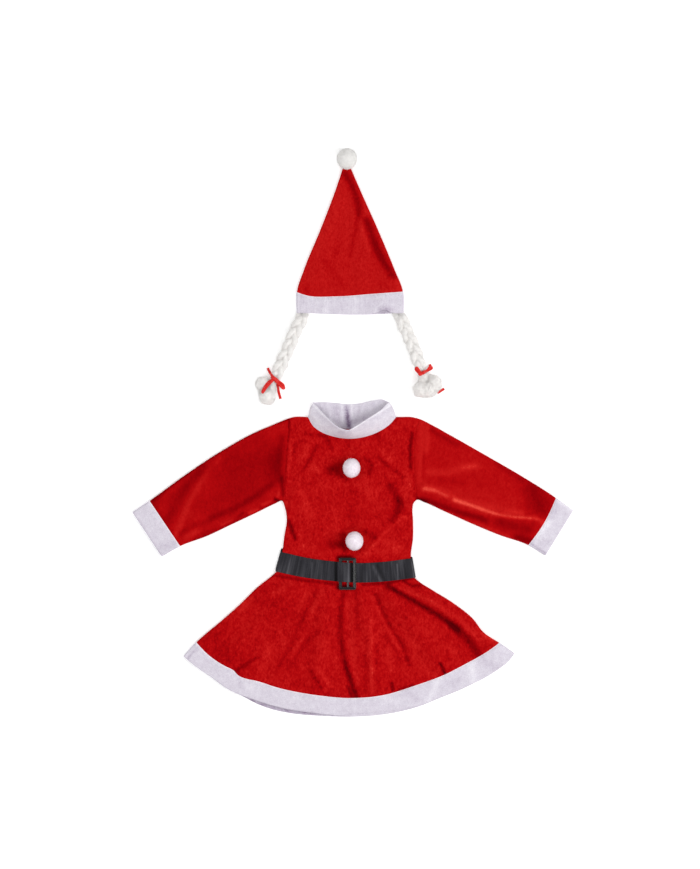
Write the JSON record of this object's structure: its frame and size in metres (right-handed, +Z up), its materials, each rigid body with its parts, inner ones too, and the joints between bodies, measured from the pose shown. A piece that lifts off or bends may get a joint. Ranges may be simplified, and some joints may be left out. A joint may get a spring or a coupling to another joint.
{
  "type": "child's christmas costume dress and plaited hat set",
  "caption": "Red velour costume dress with white trim, pompoms and a black buckled belt, and its cone hat with plaits tied with ribbon, laid flat.",
  "frame": {"origin": "middle of the set's box, on the surface that it lies on", "axes": "+Y from the dress's hem towards the hat's pompom, +Z up from the surface out of the dress's front, +X towards the sleeve on the right of the front view"},
  "size_m": [0.9237, 1.1923, 0.0434],
  "materials": {
    "velour": "red crushed velour with a short nap that sheens along the folds",
    "brushed": "cool white brushed fleece trim, matt",
    "pile": "warm white fluffy pile and yarn",
    "webbing": "black woven webbing with fine cross ribs",
    "plastic": "black moulded plastic, glossy",
    "satin": "red satin ribbon with a bright sheen"
  },
  "bodies": {
    "root": {"bodice_front": "velour", "bodice_back_left": "velour", "bodice_back_right": "velour", "sleeve_left": "velour", "sleeve_right": "velour", "skirt_front": "velour", "skirt_back": "velour", "hat_cone": "velour", "collar": "brushed", "cuff_left": "brushed", "cuff_right": "brushed", "hem_front": "brushed", "hem_back": "brushed", "hat_brim": "brushed", "pompom_upper": "pile", "pompom_lower": "pile", "hat_pompom": "pile", "braid_left": "pile", "braid_right": "pile", "tuft_left": "pile", "tuft_right": "pile", "belt_webbing": "webbing", "belt_buckle": "plastic", "bow_left": "satin", "bow_right": "satin", "ribbon_end": "satin"}
  },
  "joints": []
}
